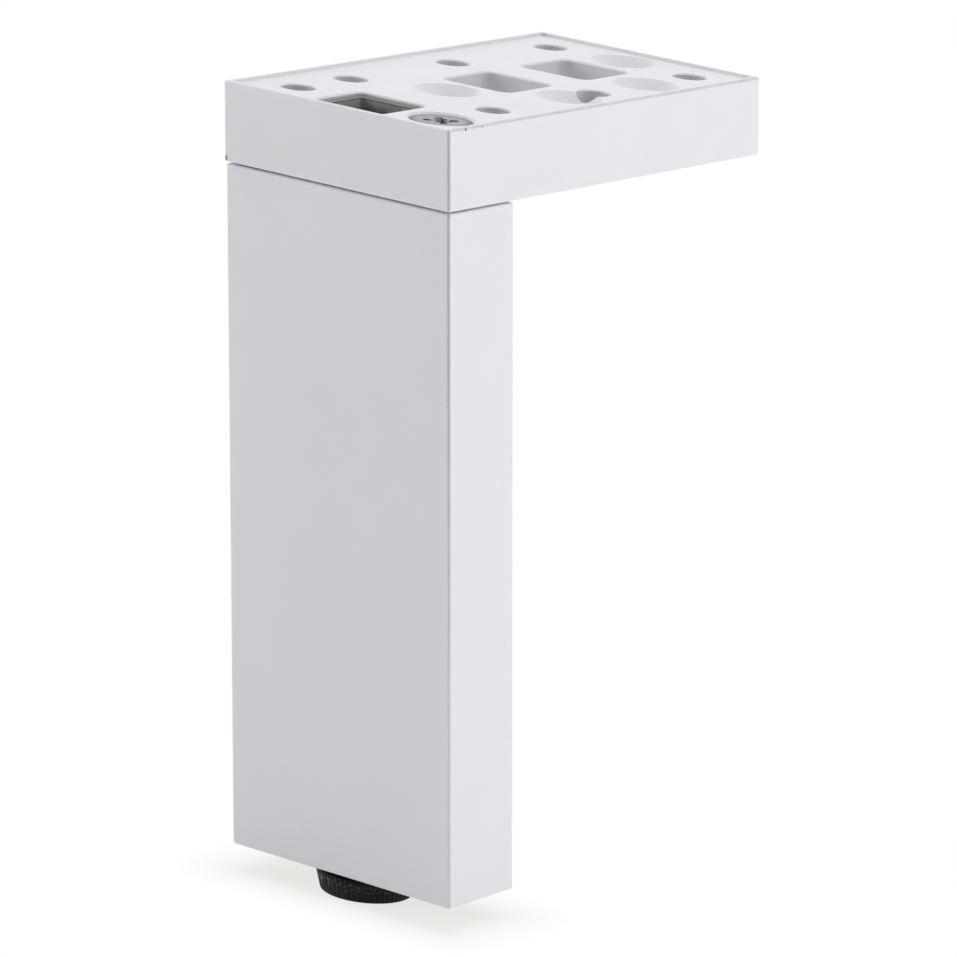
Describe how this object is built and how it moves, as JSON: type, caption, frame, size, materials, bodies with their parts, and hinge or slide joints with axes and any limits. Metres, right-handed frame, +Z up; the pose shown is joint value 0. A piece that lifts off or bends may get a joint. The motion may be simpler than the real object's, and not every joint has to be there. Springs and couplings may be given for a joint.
{
  "type": "adjustable cabinet leg",
  "caption": "Rectangular tube furniture leg with a flat head that overhangs to one side, screw holes and square sockets in its top, and a black foot that screws in and out.",
  "frame": {"origin": "on the floor, on the tube's axis", "axes": "+Z up the leg, +X along the head away from the tube, Y across the head"},
  "size_m": [0.1004, 0.0504, 0.15],
  "materials": {
    "head_white": "satin",
    "tube_white": "satin",
    "cast_grey": "matte",
    "zinc_steel": "satin",
    "black_plastic": "satin"
  },
  "bodies": {
    "leg": {"mounting_head": "head_white", "leg_tube": "tube_white", "top_plug": "cast_grey", "head_screw": "zinc_steel", "base_plug": "black_plastic", "foot_nut": "zinc_steel"},
    "spindle": {"foot_spindle": "zinc_steel"},
    "disc": {"foot_disc": "black_plastic"}
  },
  "joints": [
    {"name": "foot_height", "type": "slide", "parent": "leg", "child": "spindle", "axis": [0, 0, -1], "range_m": [0, 0.015]},
    {"name": "foot_turn", "type": "hinge", "parent": "spindle", "child": "disc", "pos_m": [0, 0.0013, 0], "axis": [0, 0, -1], "range_deg": [0, 4320]}
  ],
  "couplings": [
    {"joint": "foot_turn", "follows": "foot_height", "rad_per_m": 5026.5}
  ]
}
